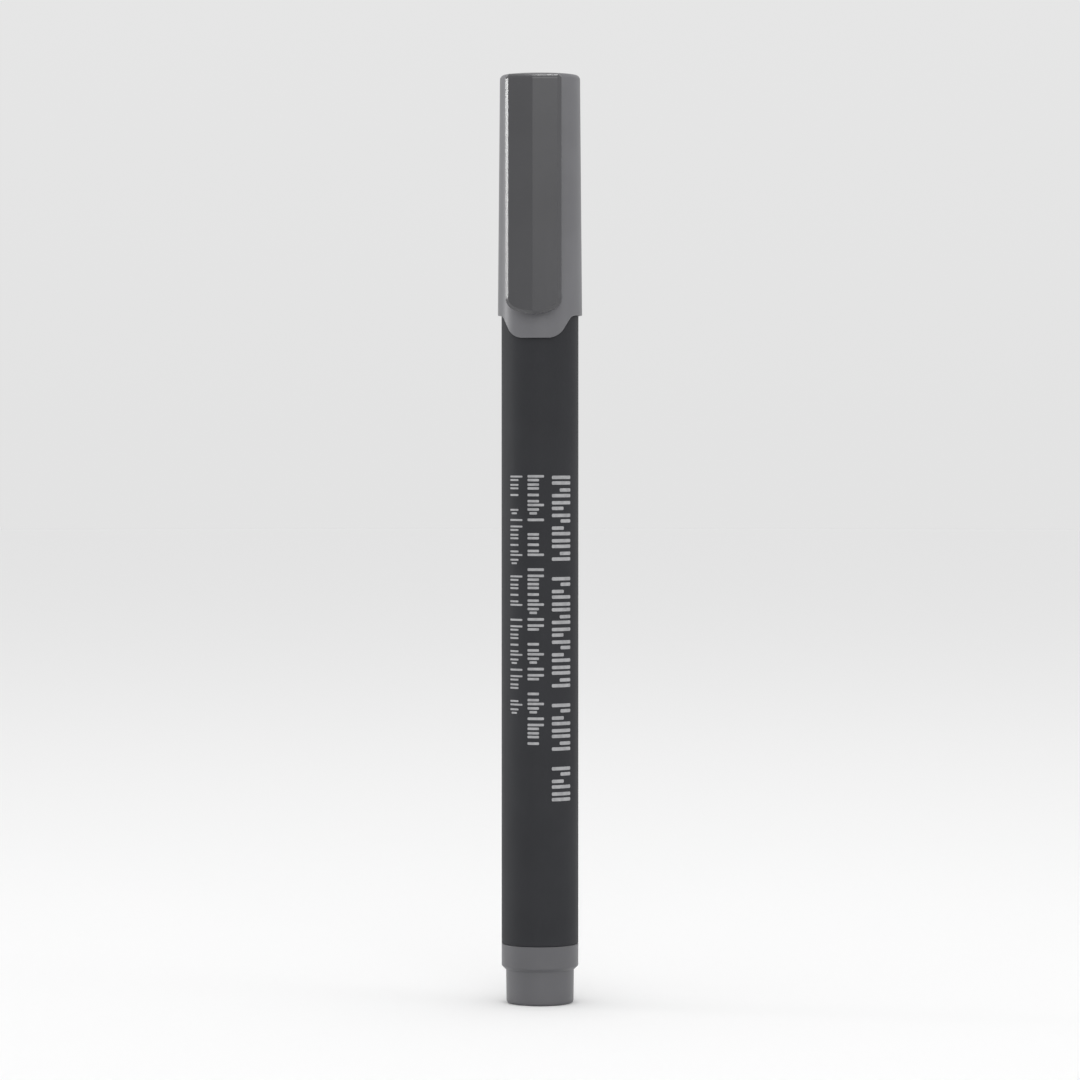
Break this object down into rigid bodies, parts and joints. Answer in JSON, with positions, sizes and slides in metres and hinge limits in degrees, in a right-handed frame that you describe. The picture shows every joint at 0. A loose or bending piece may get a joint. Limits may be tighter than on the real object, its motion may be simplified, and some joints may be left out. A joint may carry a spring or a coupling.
{
  "type": "counterfeit detector pen",
  "caption": "Slim capped fibre-tip pen for testing banknote paper, with a straight barrel, a stepped tail plug and a pull-off cap with a sprung pocket clip.",
  "frame": {"origin": "centre of the tail plug's flat end, which the pen stands on", "axes": "+Z along the pen towards the cap, -Y towards the pocket clip, +X to the right when the clip faces the viewer"},
  "size_m": [0.0126, 0.015, 0.14],
  "materials": {
    "plug_plastic": "satin moulded dark grey",
    "barrel_plastic": "smooth near-black with pale printed marks",
    "section_plastic": "satin black",
    "nib_fibre": "bonded fibre wetted with amber iodine ink",
    "reservoir_fibre": "soft polyester fibre soaked in ink",
    "wrap_film": "thin clear film",
    "breather_plastic": "natural white",
    "cap_plastic": "satin moulded dark grey",
    "seal_plastic": "natural soft polyethylene",
    "clip_plastic": "satin moulded dark grey"
  },
  "bodies": {
    "pen": {"barrel": "barrel_plastic", "tail_plug": "plug_plastic", "front_section": "section_plastic", "nib": "nib_fibre", "ink_reservoir": "reservoir_fibre", "reservoir_wrap": "wrap_film", "breather_tube": "breather_plastic"},
    "cap": {"cap_shell": "cap_plastic", "inner_cap": "seal_plastic"},
    "clip": {"pocket_clip": "clip_plastic"}
  },
  "joints": [
    {"name": "cap_slide", "type": "slide", "parent": "pen", "child": "cap", "axis": [0, 0, 1], "range_m": [0, 0.045]},
    {"name": "clip_flex", "type": "hinge", "parent": "cap", "child": "clip", "pos_m": [0, -0.0064, 0.1382], "axis": [-1, 0, 0], "range_deg": [0, 5], "stiffness_Nm_per_rad": 0.6}
  ]
}
